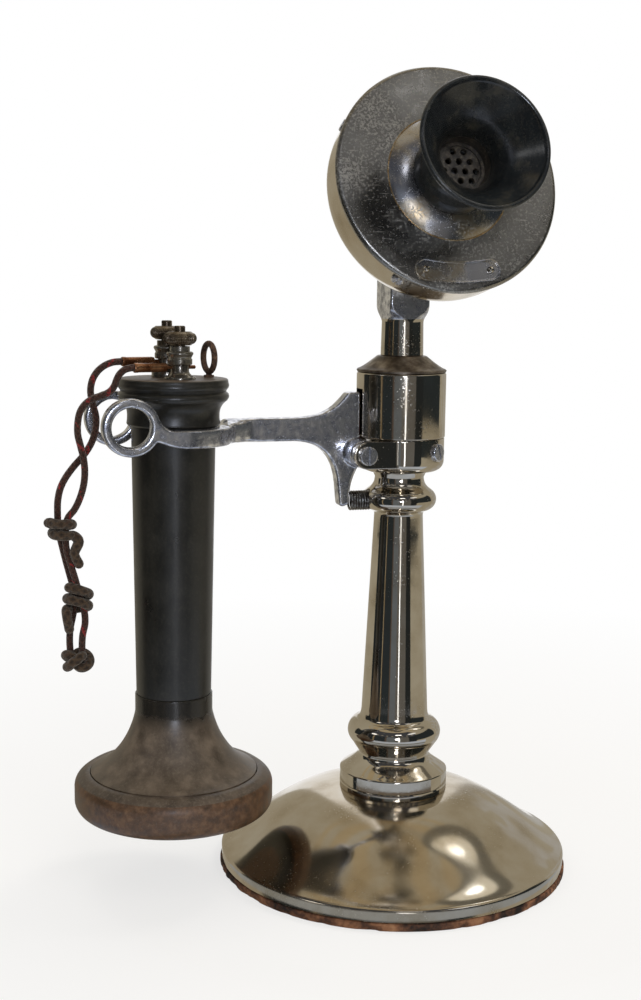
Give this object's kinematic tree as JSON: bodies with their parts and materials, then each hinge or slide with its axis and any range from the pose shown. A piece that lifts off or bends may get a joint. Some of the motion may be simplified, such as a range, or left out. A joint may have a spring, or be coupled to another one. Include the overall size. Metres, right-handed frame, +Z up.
{
  "type": "candlestick telephone",
  "caption": "Desk telephone on a turned pillar with a weighted domed base, a tilting round transmitter with a mouthpiece, and a long receiver hung in a switch-hook fork.",
  "frame": {"origin": "centre of the base's underside, on the pillar's axis at the table", "axes": "+Z up along the pillar; -Y is the way the mouthpiece looks; -X is the hook lever's side"},
  "size_m": [0.2105, 0.1526, 0.3132],
  "materials": {
    "leather": "worn, patchy",
    "iron": "rough",
    "nickel": "polished, lightly tarnished",
    "worn_nickel": "dull, pitted and scratched",
    "lever_nickel": "mottled, rounded by wear",
    "brown_cone": "oxidised",
    "brass": "plain",
    "dark_brass": "darkened",
    "fibre": "vulcanised fibre",
    "black_rubber": "satin hard rubber",
    "gloss_rubber": "polished hard rubber",
    "bell_rubber": "faded hard rubber",
    "brown_rubber": "mottled hard rubber, worn at the edge",
    "soft_rubber": "plain",
    "steel": "plain",
    "tin_plate": "japanned",
    "wound_wire": "silk-covered windings",
    "rust": "rusty",
    "copper": "worn",
    "cord": "braided cotton",
    "knot_cord": "thicker, frayed cotton"
  },
  "bodies": {
    "stand": {"base_pad": "leather", "base_weight": "iron", "base_shell": "nickel", "cord_bushing": "gloss_rubber", "foot_flange": "nickel", "clamp_tube": "brass", "clamp_nuts": "brass", "pillar": "nickel", "lever_bracket": "nickel", "bracket_screws": "nickel", "lever_pivot_screw": "nickel", "switch_cup": "nickel", "switch_block": "fibre", "switch_springs": "brass", "cup_cap": "brown_cone", "stem": "nickel", "tilt_screw": "nickel"},
    "hook_lever": {"hook_lever": "lever_nickel", "hook_spring": "steel"},
    "transmitter": {"transmitter_case": "nickel", "tilt_lug": "nickel", "transmitter_face": "worn_nickel", "name_plate": "worn_nickel", "plate_rivets": "nickel", "rim_screws": "nickel", "diaphragm_gasket": "soft_rubber", "transmitter_diaphragm": "steel", "carbon_button": "brass", "button_bridge": "iron", "damping_springs": "steel"},
    "mouthpiece": {"mouthpiece": "gloss_rubber"},
    "receiver": {"receiver_barrel": "black_rubber", "receiver_bell": "bell_rubber", "tail_cap": "black_rubber", "receiver_diaphragm": "tin_plate", "receiver_magnet": "steel", "pole_pieces": "steel", "pole_coils": "wound_wire", "coil_plate": "brass", "binding_posts": "dark_brass", "hanging_ring": "rust", "cord_tips": "copper", "cord_front": "cord", "cord_back": "cord", "cord_knots": "knot_cord"},
    "ear_cap": {"ear_cap": "brown_rubber"},
    "front_nut": {"front_nut": "dark_brass"},
    "back_nut": {"back_nut": "dark_brass"}
  },
  "joints": [
    {"name": "hook_lift", "type": "hinge", "parent": "stand", "child": "hook_lever", "pos_m": [-0.0192, 0, 0.1698], "axis": [0, 1, 0], "range_deg": [0, 10], "stiffness_Nm_per_rad": 0.2, "springref_deg": 34.38, "deforming": ["hook_spring"]},
    {"name": "receiver_lift", "type": "slide", "parent": "hook_lever", "child": "receiver", "axis": [-0.5, 0, 0.866], "range_m": [0, 0.12]},
    {"name": "ear_cap_turn", "type": "hinge", "parent": "receiver", "child": "ear_cap", "pos_m": [-0.0915, 0, 0.038], "axis": [0, 0, 1], "continuous": true},
    {"name": "front_nut_turn", "type": "hinge", "parent": "receiver", "child": "front_nut", "pos_m": [-0.09039, -0.0063, 0.2142], "axis": [0, 0, 1], "continuous": true},
    {"name": "back_nut_turn", "type": "hinge", "parent": "receiver", "child": "back_nut", "pos_m": [-0.09261, 0.0063, 0.2158], "axis": [0, 0, 1], "continuous": true},
    {"name": "transmitter_tilt", "type": "hinge", "parent": "stand", "child": "transmitter", "pos_m": [0, 0, 0.246], "axis": [1, 0, 0], "range_deg": [-25, 35]},
    {"name": "mouthpiece_turn", "type": "hinge", "parent": "transmitter", "child": "mouthpiece", "pos_m": [0, -0.0698, 0.2814], "axis": [0, -0.9542, 0.299], "continuous": true}
  ]
}
